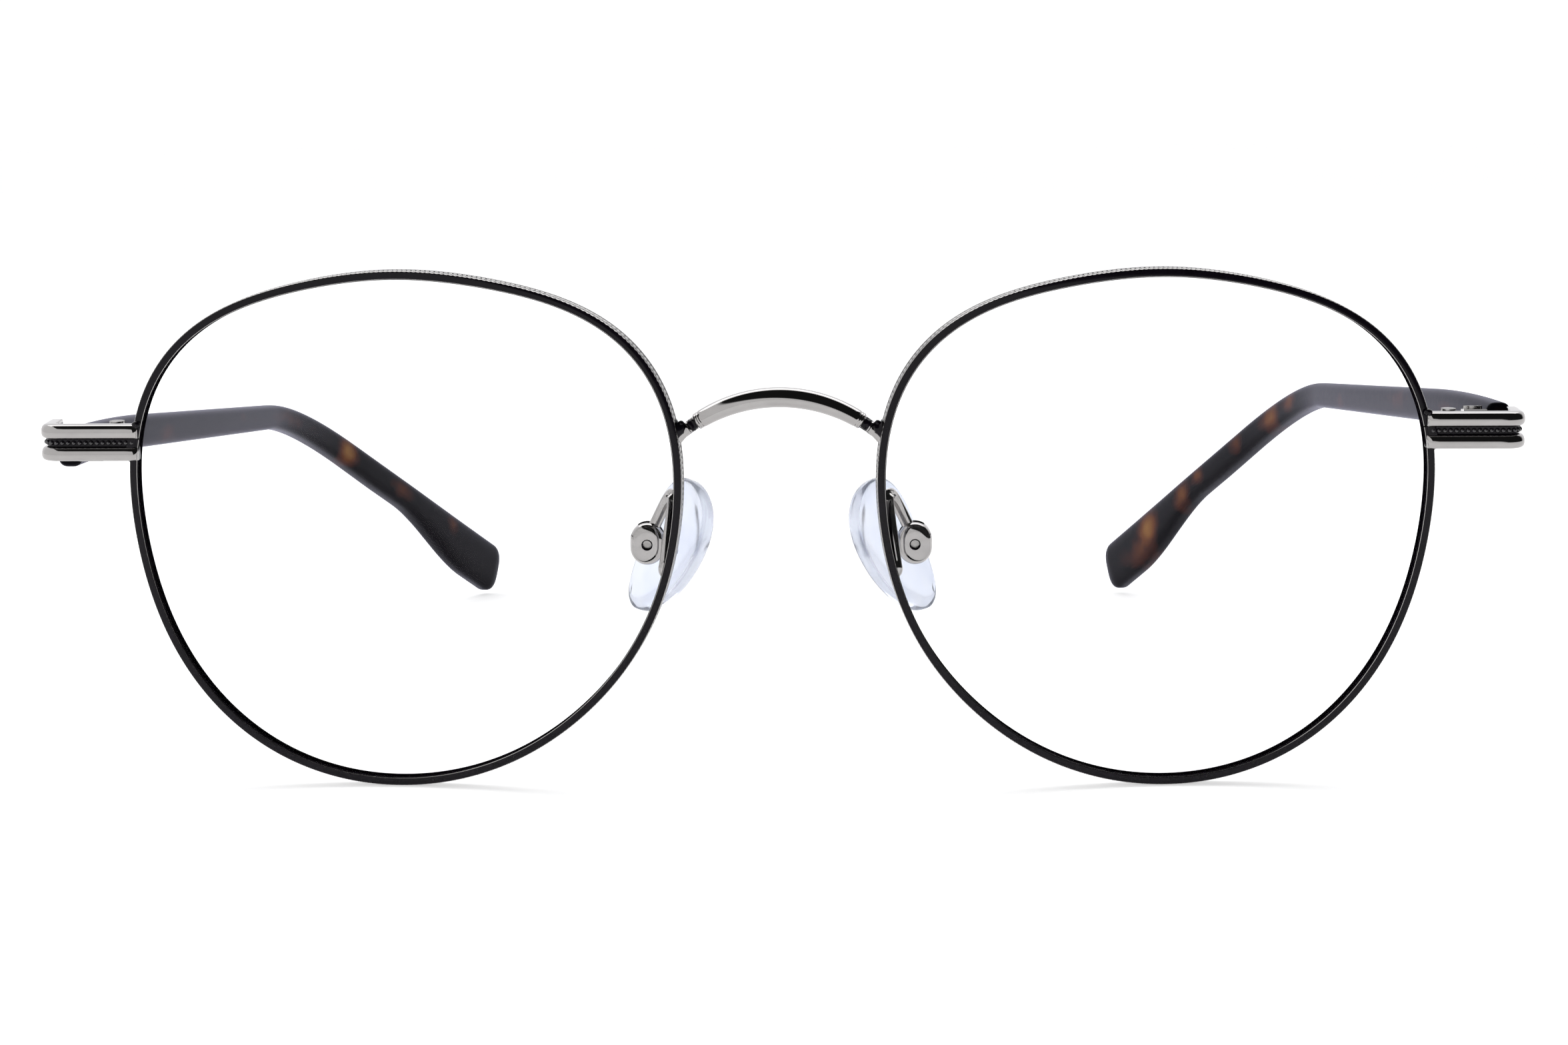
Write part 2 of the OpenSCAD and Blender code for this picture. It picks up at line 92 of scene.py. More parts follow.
def hinge_z(s):
    """Height of the hinge on the wearer's left (s = 1) or right (s = -1)."""
    return END_Z - HINGE_LOW + s * HINGE_STAGGER


# --- Frames of reference -----------------------------------------------------------------


def front(p, s):
    """The leaning front's frame to the row frame, mirrored for s = -1."""
    p = np.asarray(p, float)
    c, d = math.cos(LEAN), math.sin(LEAN)
    return np.stack(
        [s * p[..., 0], p[..., 1] * c - p[..., 2] * d - MID_Y, p[..., 1] * d + p[..., 2] * c], -1
    )


def eye(p):
    """A rim's own frame to the front's frame."""
    p = np.asarray(p, float)
    c, d = math.cos(WRAP), math.sin(WRAP)
    return EYE + np.stack(
        [p[..., 0] * c - p[..., 1] * d, p[..., 0] * d + p[..., 1] * c, p[..., 2]], -1
    )


def hinge(p, s):
    """A temple's own frame, with its origin on the hinge axis, to the row frame."""
    p = np.asarray(p, float)
    z = hinge_z(s)
    c, d = math.cos(DROP), math.sin(DROP)
    y0 = HINGE[1] * math.cos(LEAN) - z * math.sin(LEAN) - MID_Y
    z0 = HINGE[1] * math.sin(LEAN) + z * math.cos(LEAN)
    return np.stack(
        [
            s * (p[..., 0] + HINGE[0]),
            p[..., 1] * c + p[..., 2] * d + y0,
            -p[..., 1] * d + p[..., 2] * c + z0,
        ],
        -1,
    )


# --- Mesh making -------------------------------------------------------------------------


def place(name, data):
    """A new object in the scene."""
    obj = bpy.data.objects.new(name, data)
    bpy.context.scene.collection.objects.link(obj)
    return obj


def outward(name, points, faces):
    """Mesh data from millimetre points, with every face turned outwards."""
    data = bpy.data.meshes.new(name)
    data.from_pydata((np.asarray(points, float) / 1000).tolist(), [], faces)
    bm = bmesh.new()
    bm.from_mesh(data)
    bmesh.ops.recalc_face_normals(bm, faces=bm.faces)
    bm.to_mesh(data)
    bm.free()
    return data


def mesh(name, points, faces, materials, pick=None, sharp=40, body="front"):
    """A new object on a body. pick gives each face's material number, sharp the edge angle."""
    data = outward(name, points, faces)
    for m in materials:
        data.materials.append(m)
    if pick is not None:
        data.polygons.foreach_set("material_index", pick)
    data.polygons.foreach_set("use_smooth", [True] * len(data.polygons))
    data.set_sharp_from_angle(angle=math.radians(sharp))
    obj = place(name, data)
    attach(obj, body)
    return obj


def sweep(rings, loop=False):
    """Points and faces over rings of equal length, capped at both ends unless they loop."""
    rings = np.asarray(rings, float)
    m, n = rings.shape[:2]
    faces = []
    for j in range(m if loop else m - 1):
        a, b = j * n, (j + 1) % m * n
        faces += [(a + i, a + (i + 1) % n, b + (i + 1) % n, b + i) for i in range(n)]
    if not loop:
        faces += [tuple(range(n))[::-1], tuple(range((m - 1) * n, m * n))]
    return rings.reshape(-1, 3), faces


def merge(*parts):
    """Several parts as one set. Each is (points, faces, its material number or every face's)."""
    points, faces, pick, base = [], [], [], 0
    for p, f, k in parts:
        points.append(p)
        faces += [tuple(i + base for i in face) for face in f]
        pick += k if isinstance(k, list) else [k] * len(f)
        base += len(p)
    return np.concatenate(points), faces, pick


def ball(centre, radii, n=16):
    """A closed ellipsoid as points and faces."""
    u = np.linspace(0, math.pi, n + 1)[:, None]
    v = np.linspace(0, 2 * math.pi, 2 * n, endpoint=False)[None, :]
    shape = np.stack([np.sin(u) * np.cos(v), np.sin(u) * np.sin(v), np.cos(u) + 0 * v], -1)
    return sweep(np.asarray(centre) + shape[1:-1] * np.asarray(radii))


def rounded(w, h, p, n):
    """n points of a superellipse outline, w by h. A power p of 2 gives an ellipse."""
    t = (np.arange(n) + 0.5) / n * 2 * math.pi
    c, s = np.cos(t), np.sin(t)
    return np.stack(
        [w / 2 * np.sign(c) * np.abs(c) ** (2 / p), h / 2 * np.sign(s) * np.abs(s) ** (2 / p)], -1
    )


def unit(v):
    """v at length 1."""
    return v / np.linalg.norm(v, axis=-1, keepdims=True)


# --- Materials ---------------------------------------------------------------------------


def material(name, **sockets):
    """A principled material with the given constant sockets, its node tree and its shader."""
    mat = bpy.data.materials.new(name)
    mat.use_nodes = True
    tree = mat.node_tree
    shader = tree.nodes["Principled BSDF"]
    for key, value in sockets.items():
        shader.inputs[key.replace("_", " ")].default_value = value
    return mat, tree, shader


def noise(tree, scale, detail, stretch=(1, 1, 1), rough=0.5, distortion=0.0):
    """Noise in the object's own space, at scale features to the metre."""
    coords = tree.nodes.new("ShaderNodeTexCoord")
    mapping = tree.nodes.new("ShaderNodeMapping")
    mapping.inputs["Scale"].default_value = stretch
    tex = tree.nodes.new("ShaderNodeTexNoise")
    tex.inputs["Scale"].default_value = scale
    tex.inputs["Detail"].default_value = detail
    tex.inputs["Roughness"].default_value = rough
    tex.inputs["Distortion"].default_value = distortion
    tree.links.new(coords.outputs["Object"], mapping.inputs["Vector"])
    tree.links.new(mapping.outputs["Vector"], tex.inputs["Vector"])
    return tex.outputs["Fac"]


def ramp(tree, fac, *stops):
    """A colour ramp over fac, from (position, colour) stops."""
    node = tree.nodes.new("ShaderNodeValToRGB")
    while len(node.color_ramp.elements) < len(stops):
        node.color_ramp.elements.new(0.5)
    for e, (at, colour) in zip(node.color_ramp.elements, stops):
        e.position = at
        e.color = (*colour, 1)
    tree.links.new(fac, node.inputs["Fac"])
    return node.outputs["Color"]


def spread(tree, fac, low, high):
    """fac from 0 to 1 turned into low to high."""
    node = tree.nodes.new("ShaderNodeMapRange")
    node.inputs["To Min"].default_value = low
    node.inputs["To Max"].default_value = high
    tree.links.new(fac, node.inputs["Value"])
    return node.outputs["Result"]


def bump(tree, shader, height, distance, strength):
    """Height (0 to 1) as relief of the given depth in metres."""
    node = tree.nodes.new("ShaderNodeBump")
    node.inputs["Strength"].default_value = strength
    node.inputs["Distance"].default_value = distance
    tree.links.new(height, node.inputs["Height"])
    tree.links.new(node.outputs["Normal"], shader.inputs["Normal"])


def make_lacquer(name, ior, low=0.1, high=0.16):
    """Black lacquer, with its roughness between low and high."""
    mat, tree, shader = material(name, IOR=ior)
    grain = noise(tree, 900, 4)
    tree.links.new(
        ramp(tree, grain, (0.3, (0.004, 0.003, 0.005)), (0.7, (0.006, 0.0045, 0.008))),
        shader.inputs["Base Color"],
    )
    tree.links.new(spread(tree, grain, low, high), shader.inputs["Roughness"])
    bump(tree, shader, noise(tree, 2500, 2), 0.000002, 0.4)
    return mat


def make_gunmetal():
    mat, tree, shader = material("polished_gunmetal", Metallic=1.0)
    smear = noise(tree, 500, 4, (1, 1, 2.5))
    tree.links.new(
        ramp(tree, smear, (0.3, (0.385, 0.372, 0.368)), (0.7, (0.425, 0.412, 0.406))),
        shader.inputs["Base Color"],
    )
    tree.links.new(spread(tree, smear, 0.03, 0.08), shader.inputs["Roughness"])
    bump(tree, shader, noise(tree, 700, 2), 0.000001, 0.2)
    return mat


def make_steel():
    mat, tree, shader = material("satin_steel", Metallic=1.0)
    brush = noise(tree, 1500, 5, (1, 1, 8))
    tree.links.new(
        ramp(tree, brush, (0.25, (0.3, 0.29, 0.285)), (0.75, (0.42, 0.41, 0.4))),
        shader.inputs["Base Color"],
    )
    tree.links.new(spread(tree, brush, 0.16, 0.32), shader.inputs["Roughness"])
    bump(tree, shader, brush, 0.000004, 0.5)
    return mat


def make_tortoise():
    mat, tree, shader = material(
        "matte_tortoise", IOR=1.1, Sheen_Weight=0.5, Sheen_Roughness=0.3,
        Sheen_Tint=(0.78, 0.77, 1.0, 1),
    )
    patch = tree.nodes.new("ShaderNodeAttribute")
    patch.attribute_name = "patch"
    # Noise makes the patches' edges wander
    wobble = spread(tree, noise(tree, 260, 4, (1, 0.6, 1), 0.6, 0.4), -0.35, 0.35)
    add = tree.nodes.new("ShaderNodeMath")
    add.operation = "ADD"
    add.use_clamp = True
    tree.links.new(wobble, add.inputs[0])
    tree.links.new(patch.outputs["Fac"], add.inputs[1])
    colour = ramp(
        tree,
        add.outputs[0],
        (0.12, (0.003, 0.0024, 0.0042)),
        (0.34, (0.045, 0.014, 0.010)),
        (0.6, (0.13, 0.045, 0.014)),
        (1.0, (0.30, 0.15, 0.045)),
    )
    tree.links.new(colour, shader.inputs["Base Color"])
    tree.links.new(spread(tree, noise(tree, 1800, 3), 0.36, 0.5), shader.inputs["Roughness"])
    bump(tree, shader, noise(tree, 2500, 2), 0.000001, 0.25)
    return mat


def make_silicone():
    mat, tree, shader = material(
        "clear_silicone", IOR=1.41, Transmission_Weight=0.88, Sheen_Weight=0.05
    )
    cloud = noise(tree, 350, 3, (1, 1, 0.35), 0.5, 0.6)
    tree.links.new(
        ramp(tree, cloud, (0.3, (0.77, 0.82, 0.96)), (0.7, (0.9, 0.93, 1.0))),
        shader.inputs["Base Color"],
    )
    tree.links.new(spread(tree, cloud, 0.05, 0.18), shader.inputs["Roughness"])
    bump(tree, shader, cloud, 0.00006, 0.5)
    return mat


def make_lens():
    mat, tree, shader = material(
        "clear_lens", IOR=1.06, Transmission_Weight=1.0, Coat_Weight=0.015, Coat_IOR=1.45,
        Coat_Roughness=0.0,
    )
    haze = noise(tree, 60, 2)
    tree.links.new(
        ramp(tree, haze, (0.3, (0.985, 0.99, 0.995)), (0.7, (1.0, 1.0, 1.0))),
        shader.inputs["Base Color"],
    )
    tree.links.new(spread(tree, haze, 0.0, 0.008), shader.inputs["Roughness"])
    return mat


LACQUER, BEADS = make_lacquer("black_lacquer", 1.27), make_lacquer("bead_lacquer", 1.75)
# Painted shade: a dull, near-black finish laid where there is only shade, on the rims' grooves,
# the lens edges and the pad boxes' bores
SHADE_BLACK = make_lacquer("painted_shade_black", 1.03, 0.8, 0.95)
GUNMETAL, STEEL = make_gunmetal(), make_steel()
TORTOISE, SILICONE, LENS = make_tortoise(), make_silicone(), make_lens()

# --- Rims and lenses ---------------------------------------------------------------------


def rim_radius(a):
    """Outer radius of a rim at the angle a from the temple's side, counted upwards."""
    return (
        RIM_R + 0.89 * np.cos(2 * a) - 0.21 * np.sin(2 * a)
        - 0.16 * np.cos(3 * a) + 1.04 * np.sin(3 * a)
        - 0.41 * np.cos(4 * a) + 0.06 * np.sin(4 * a)
        + 0.09 * np.sin(5 * a) - 0.15 * np.cos(6 * a) + 0.03 * np.sin(6 * a) - 0.07 * np.sin(7 * a)
    )


def on_sheet(r, a, depth):
    """A point at polar (r, a) of a rim's frame, at a depth behind the front sphere."""
    return np.stack(
        [r * np.cos(a), SHEET_Y - np.sqrt((BASE_R - depth) ** 2 - r**2), r * np.sin(a)], -1
    )


def arc(cx, cy, r, start, end, n=4):
    """n points of a circle, from start to end degrees."""
    t = np.radians(np.linspace(start, end, n))
    return [(cx + r * math.cos(k), cy + r * math.sin(k)) for k in t]


def rim(name, s):
    # Section: (distance outside the outer radius, depth), all the way round the wire. Its side
    # lies a little below the edges.
    e, sunk = EDGE_R, -0.02
    section = np.array(
        arc(-RIM_W + e, e, e, 180, 270) + arc(-e, e, e, 270, 360)
        + [(0, 0.68), (sunk, 0.72), (sunk, 0.9), (sunk, 1.1), (sunk, 1.28), (0, 1.32)]
        + arc(-e, RIM_D - e, e, 0, 90) + arc(-RIM_W + e, RIM_D - e, e, 90, 180)
        + [(-RIM_W, GROOVE_BACK), (-RIM_W + GROOVE, GROOVE_BACK)]
        + [(-RIM_W + GROOVE, GROOVE_FRONT), (-RIM_W, GROOVE_FRONT)]
    )
    # The knurling covers the side and bites into the last step of each rounded edge
    knurled = (section[:, 0] > -0.03) & (section[:, 0] < -0.01)
    # The rim is split behind its end piece, with a 0.12 mm gap
    split_r = rim_radius(math.radians(18.5)) - RIM_W / 2
    start = math.asin((END_Z + s * STAGGER + SPLIT_UP - EYE[2]) / split_r)
    half_gap = 0.06 / 25
    # Four steps to a notch, and the notches are 0.48 mm apart
    a = start + np.linspace(half_gap, 2 * math.pi - half_gap, KNURLS * 4 + 1)
    wave = 0.5 - 0.5 * np.cos(np.arange(len(a)) * math.pi / 2)
    offset = section[:, 0] - knurled * KNURL_DEPTH * wave[:, None]
    rings = on_sheet(rim_radius(a)[:, None] + offset, a[:, None], section[:, 1])
    points, faces = sweep(eye(rings))
    # Lacquer, but bare metal on the knurling. A painted highlight of bare steel runs on a hairline
    # where the front face meets the inner wall. Painted shade, a dull black, runs from the
    # groove's back wall round to its front wall
    n, highlight_line, inside = len(section), 1, 5
    column = [
        1 if knurled[i] or knurled[(i + 1) % n] or i == highlight_line else 2 if i >= n - inside else 0
        for i in range(n)
    ]
    pick = column * (len(a) - 1) + [0, 0]
    obj = mesh(name + "_look", front(points, s), faces, [LACQUER, STEEL, SHADE_BLACK], pick, 50)
    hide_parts(name)


def lens(name, s):
    n = 240
    front_depth, back_depth, play = 0.15, 1.75, 0.05
    a = np.linspace(0, 2 * math.pi, n, endpoint=False)
    edge = rim_radius(a) - RIM_W - 0.03
    tongue = edge + 0.3
    t = np.linspace(0, 1, 25)[1:]
    rows = [on_sheet(edge * k, a, front_depth) for k in t]
    rows += [on_sheet(edge, a, GROOVE_FRONT), on_sheet(tongue, a, GROOVE_FRONT + play)]
    rows += [on_sheet(tongue, a, GROOVE_BACK - play), on_sheet(edge, a, GROOVE_BACK)]
    rows += [on_sheet(edge * k, a, back_depth) for k in t[::-1]]
    points, faces = sweep(eye(np.array(rows)))
    # The edge inside the rim is painted black as shade, where it shows through the lens
    side = len(t) - 1
    pick = [1 if side <= j // n <= side + 4 else 0 for j in range(len(faces))]
    obj = mesh(name + "_look", front(points, s), faces, [LENS, SHADE_BLACK], pick, 30)
    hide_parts(name)


# --- Bridge ------------------------------------------------------------------------------

TUBE_SIDES = 40


def bridge():
    def at(s_len, u, v):
        """Arc length from the middle, distance out from the arc, depth forward of it."""
        t = s_len / BRIDGE_R
        r = BRIDGE_R + u
        return np.stack([r * np.sin(t), BRIDGE_Y - v, BRIDGE_Z + r * np.cos(t)], -1)

    def tube(stations):
        """stations: arc length, width, front depth, back depth, squareness of the back."""
        n = TUBE_SIDES
        t = (np.arange(n) + 0.5) / n * 2 * math.pi
        rings = []
        for s_len, w, f, b, p in stations:
            c, d = np.cos(t), np.sin(t)
            u = w / 2 * np.sign(c) * np.abs(c) ** np.where(d > 0, 1, 2 / p)
            v = np.where(d > 0, f * d, -b * np.abs(d) ** (2 / p)) - BRIDGE_LEAN * u
            rings.append(at(np.full(n, s_len), u, v))
        return sweep(rings)

    def both(stations):
        """Stations of one half, and their mirror image before them."""
        return [(-a, *k) for a, *k in stations[::-1]] + [(a, *k) for a, *k in stations]

    # The polished bar: widest at the top of the arch, with a fine double line near each end
    half_depth, back, square = 0.93, 0.5, 5
    end_w, end_at, end_round = 1.6, 8.04, 0.42
    bar = [(x, 1.85 - 0.004 * x * x, half_depth, back, square) for x in np.linspace(0.25, 7.6, 28)]
    lines = [(7.7, 0.985), (7.76, 0.95), (7.82, 0.985)]
    lines += [(7.92, 0.985), (7.98, 0.95), (end_at, 0.98)]
    for x, k in lines:
        bar.append((x, end_w * k, half_depth * k, back, square))
    for q in np.linspace(0.1, 1, 8):
        k = math.sqrt(1 - q * q * 0.9)
        bar.append((end_at + end_round * q, end_w * k, 0.9 * k, back, square))
    # A flat strip behind it that runs on to the rims
    strip = [(x, 1.45 - 0.03 * x, 0.0, 0.95, 6) for x in np.linspace(0.25, 10.3, 24)]
    # The neck, with two rings
    neck = []
    for x in np.linspace(8.2, 10.6, 40):
        ring = sum(0.1 * math.exp(-(((x - at) / 0.09) ** 2)) for at in (8.75, 9.1))
        flare = 0.22 * max(0.0, x - 9.3) ** 1.2
        neck.append((x, 1.05 + 2 * ring + flare, 0.5 + ring + flare / 2, 0.5, 2.5))
    parts = [(*tube(both(bar)), 0), (*tube(both(strip)), 0)]
    for s in (-1, 1):
        points, faces = tube([(s * x, *k) for x, *k in neck])
        # Its first rings, beside the bar, are lacquered
        lacquered = 13
        dark = [1 if j // TUBE_SIDES < lacquered else 0 for j in range(len(faces))]
        parts.append((points, faces, dark))
        # Lacquered solder foot: a flare that is thin on the neck and tall on the rim's side
        foot = []
        for q in np.linspace(0, 1, 16):
            outline = rounded(2 * (0.72 + 0.1 * q), 2 * (0.55 + 0.75 * q**2.4), 2.2, 24)
            centre = (s * (8.95 + 0.7 * q), BRIDGE_Y, 34.45 - 0.35 * q)
            foot.append(np.insert(outline, 0, 0, axis=1) + centre)
        parts.append((*sweep(foot), 1))
        parts.append((*ball((s * 9.22, BRIDGE_Y - 0.2, 34.95), (0.3, 0.32, 0.3), 10), 1))
    points, faces, pick = merge(*parts)
    obj = mesh("bridge_look", front(points, 1), faces, [GUNMETAL, LACQUER], pick, 40)
    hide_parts("bridge")


# --- End pieces --------------------------------------------------------------------------


def ridge_section():
    """Points (depth outward, height) round the bar, and which of them are lacquered."""
    crest = np.linspace(1, -1, 25)

    def ridge(middle, turns):
        bulge = [max(0.0, 1 - abs(v) ** RIDGE_POWER) ** (1 / RIDGE_POWER) for v in turns]
        return [
            (END_T - RIDGE_DEPTH + RIDGE_DEPTH * k, middle + RIDGE_HALF * v)
            for k, v in zip(bulge, turns)
        ]

    upper, lower = ridge(RIDGE_AT, crest[:-1]), ridge(-RIDGE_AT, crest)
    groove = [(0.98, 0.36), (0.96, 0.3), (0.96, 0), (0.96, -0.3), (0.98, -0.36)]
    back = [(0.1, -1.75), (0.0, -1.65), (0.0, 1.65), (0.1, 1.75)]
    black = [False] * len(upper) + [True] * len(groove) + [False] * (len(lower) + len(back))
    # Each ridge's face leans back a little
    pts = np.array(upper + groove + lower + back)
    from_middle = pts[:, 1] - RIDGE_AT * np.sign(pts[:, 1])
    pts[:, 0] -= np.where(pts[:, 0] > 0.9, RIDGE_LEAN * from_middle, 0)
    return pts, black


def end_piece(name, s):
    inner = HALF_W - END_L
    section, black = ridge_section()
    # Stations along the outer surface: (x, y) there, the outward direction, and the bulge
    stations = []
    start_round = 0.55
    for q in np.linspace(0, 1, 9)[:-1]:
        bulge = math.sqrt(1 - (1 - q) ** 2)
        stations.append((inner + start_round * q, END_FRONT, 0.0, -1.0, bulge))
    for x in np.linspace(inner + start_round, HALF_W - CORNER_R, 12):
        stations.append((x, END_FRONT, 0.0, -1.0, 1.0))
    cx, cy = HALF_W - CORNER_R, END_FRONT + CORNER_R
    for t in np.radians(np.linspace(0, 90, 17))[1:]:
        nx, ny = math.sin(t), -math.cos(t)
        stations.append((cx + CORNER_R * nx, cy + CORNER_R * ny, nx, ny, 1.0))
    stations.append((HALF_W, 5.6, 1.0, 0.0, 1.0))
    stations.append((HALF_W, HINGE[1] - 0.25, 1.0, 0.0, 1.0))
    z0 = END_Z + s * STAGGER
    rings = []
    for j, (x, y, nx, ny, bulge) in enumerate(stations):
        u, v = section[:, 0].copy(), section[:, 1]
        u = np.where(u > 0.9, 0.9 + (u - 0.9) * bulge, u)
        v = v * (0.93 + 0.07 * bulge)
        back = END_T - u
        px, py = x - nx * back, y - ny * back
        if j == len(stations) - 1:
            py = py + END_SLOPE * (v + z0 - hinge_z(s))
        rings.append(np.stack([px, py, v + z0], -1))
    points, faces = sweep(rings)
    n = len(section)
    column = [1 if black[i] or black[(i + 1) % n] else 0 for i in range(n)]
    pick = column * (len(stations) - 1) + [1, 0]
    parts = [(points, faces, pick)]
    # Beads in the groove, round the corner and back along the side
    first_x, side_l = inner + 1.2, 2.2
    flat = cx - first_x
    bend_r = CORNER_R - 0.5
    bend = bend_r * math.pi / 2
    for i in range(-1, int((flat + bend + side_l) / BEAD_STEP) + 1):
        d = i * BEAD_STEP
        turn = max(0.0, min(math.pi / 2, (d - flat) / bend_r))
        past = max(0.0, d - flat - bend)
        x = first_x + min(d, flat) + bend_r * math.sin(turn)
        centre = (x, cy - bend_r * math.cos(turn) + past, z0)
        parts.append((*ball(centre, (BEAD_R, BEAD_R, BEAD_R), 10), 2))
    # The lacquered fillet where the bar lies on the rim, 1.95 mm up and down along the rim, and
    # a blob of it at the top
    fillet = []
    for q in np.linspace(-1, 1, 25):
        k = math.sqrt(max(0.0, 1 - q * q)) + 0.02
        angle = math.radians(18.3) + q * 1.95 / 27.2 - 0.026 + 0.015 * s
        mid = eye(on_sheet(rim_radius(angle) - 0.05, angle, -0.02))
        fillet.append(mid + np.insert(rounded(0.95 * k, 0.5 * k, 2, 16), 2, 0, axis=1))
    parts.append((*sweep(fillet), 1))
    parts.append((*ball((inner + 0.12, END_FRONT + 0.35, z0 + 1.78), (0.42, 0.4, 0.32), 12), 1))
    points, faces, pick = merge(*parts)
    obj = mesh(name + "_look", front(points, s), faces, [GUNMETAL, LACQUER, BEADS], pick, 40)
    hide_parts(name)


# --- Nose pads and their arms ------------------------------------------------------------


def solid_cut(obj, *cutters):
    """Applies differences with the cutters, then removes them."""
    for c in cutters:
        mod = obj.modifiers.new("cut", "BOOLEAN")
        mod.operation = "DIFFERENCE"
        mod.solver = "EXACT"
        mod.object = c
    deps = bpy.context.evaluated_depsgraph_get()
    data = bpy.data.meshes.new_from_object(obj.evaluated_get(deps))
    data.set_sharp_from_angle(angle=math.radians(32))
    old = obj.data
    obj.modifiers.clear()
    obj.data = data
    bpy.data.meshes.remove(old)
    for c in cutters:
        bpy.data.objects.remove(c)


def tool(points, faces):
    """A cutter for solid_cut. It rides on nothing, because solid_cut removes it again."""
    return place("tool", outward("tool", points, faces))


def brick(low, high):
    """A block between two corners, as points and faces."""
    (x0, y0, z0), (x1, y1, z1) = low, high
    return sweep([[(x0, y, z0), (x1, y, z0), (x1, y, z1), (x0, y, z1)] for y in (y0, y1)])


def rod(start, end, r, n=32):
    """A round bar between two points, as points and faces."""
    start, end = np.asarray(start, float), np.asarray(end, float)
    along = unit(end - start)
    side = unit(np.cross(along, [0.3, 0.2, 1.0]))
    other = np.cross(along, side)
    t = np.linspace(0, 2 * math.pi, n, endpoint=False)[:, None]
    ring = r * (np.cos(t) * side + np.sin(t) * other)
    return sweep([start + ring, end + ring])


def bezier(c, t):
    """Points at t from 0 to 1 along a cubic curve with the control points c."""
    c = np.asarray(c, float)
    t = np.asarray(t)[:, None]
    u = 1 - t
    return u**3 * c[0] + 3 * t * u**2 * c[1] + 3 * t * t * u * c[2] + t**3 * c[3]


def pad_arm(name, s):
    # The ribbon loops up from the rim's back and down to the box
    curve = [[11, 1.3, 20.9], [9.9, 3, 28.9], [9.7, 6.6, 29.4], [12.4, 5.6, 23.8]]
    mid = bezier(curve, np.linspace(0, 1, 70))
    along = unit(np.gradient(mid, axis=0))
    out = unit(np.cross(along, [0, 1, 0.3]))
    back = np.cross(out, along)
    section = rounded(1.15, 0.7, 3.5, 28)
    ribbon = sweep(mid[:, None] + out[:, None] * section[:, :1] + back[:, None] * section[:, 1:])
    spot = ball((10.9, 1.3, 20.9), (0.7, 0.5, 0.9), 14)
    # The box: a rounded slab with a slot for the pad's tab and a hole for its screw
    stadium = []
    for z, lo in ((0.4, 0), (-0.4, 180)):
        stadium += [(x, z + y) for x, y in arc(0, 0, BOX_R, lo, lo + 180, 24)]
    stadium = np.array(stadium)
    # (depth, size) from the front face over its rounded edge
    depths = [
        (-BOX_HALF, 0.54), (-BOX_HALF, 0.58), (-1.385, 0.66), (-1.34, 0.75), (-1.25, 0.84),
        (-1.1, 0.92), (-0.9, 0.97), (-0.65, 1),
    ]
    depths += [(-d, k) for d, k in depths[::-1]]
    points, faces = sweep([np.insert(stadium * k, 1, d, axis=1) + BOX_AT for d, k in depths])
    box = mesh(name + "_box", front(points, s), faces, [GUNMETAL])
    slot = brick(BOX_AT + [-4, -0.55, -3], BOX_AT + [0.9, 0.55, 3])
    hole = rod(BOX_AT + [0, -3, 0], BOX_AT + [0, 3, 0], 0.53)
    solid_cut(box, tool(front(slot[0], s), slot[1]), tool(front(hole[0], s), hole[1]))
    # The bore's painted shade: a dull black lining, a ring that starts just proud of the front
    # face
    turn = np.linspace(0, 2 * math.pi, 32, endpoint=False)
    circle = np.stack([np.cos(turn), 0 * turn, np.sin(turn)], -1)
    outer, bore, near, far = 0.535, 0.44, -BOX_HALF - 0.005, -0.85
    corners = ((outer, near), (bore, near), (bore, far), (outer, far))
    shade_lining = [circle * r + [0, y, 0] + BOX_AT for r, y in corners]
    points, faces, pick = merge((*ribbon, 0), (*spot, 0), (*sweep(shade_lining, loop=True), 1))
    obj = mesh(name + "_look", front(points, s), faces, [GUNMETAL, SHADE_BLACK], pick)
    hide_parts(name)


def nose_pad(name, s):
    # The pad's own directions: along it, out of its face, and across it
    tilt, splay = math.radians(25), math.radians(45)
    long = np.array([-math.sin(tilt), 0, math.cos(tilt)])
    flat = np.array([-math.cos(splay), math.sin(splay), 0])
    face = unit(flat - flat.dot(long) * long)
    across = np.cross(long, face)

    length, width, thick, bow, power = 13.6, 7.7, 2.3, 1.1, 2.3
    rings = []
    for q in np.radians(np.linspace(-88.5, 88.5, 49)):
        u = math.sin(q)
        k = (1 - abs(u) ** power) ** (1 / power)
        outline = rounded(width * k * (1 + 0.12 * u), thick * (0.35 + 0.65 * k), power, 48)
        mid = PAD_AT + long * length / 2 * u - face * bow * u * u
        rings.append(mid + across * outline[:, :1] + face * outline[:, 1:])
    pad = sweep(rings)
    tab = rod(BOX_AT + [0, -0.5, 0], BOX_AT + [0, 0.5, 0], 1.2)
    neck = brick(BOX_AT + [-2.8, -0.5, -1], BOX_AT + [-0.4, 0.5, 1])
    stem = brick((9.9, BOX_AT[1] - 0.5, BOX_AT[2] - 1), (11.0, BOX_AT[1] + 2.5, BOX_AT[2] + 1))
    points, faces, _ = merge((*pad, 0), (*tab, 0), (*neck, 0), (*stem, 0))
    obj = mesh(name + "_look", front(points, s), faces, [SILICONE], None, 50, body=name)
    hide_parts(name)


# --- Temples -----------------------------------------------------------------------------

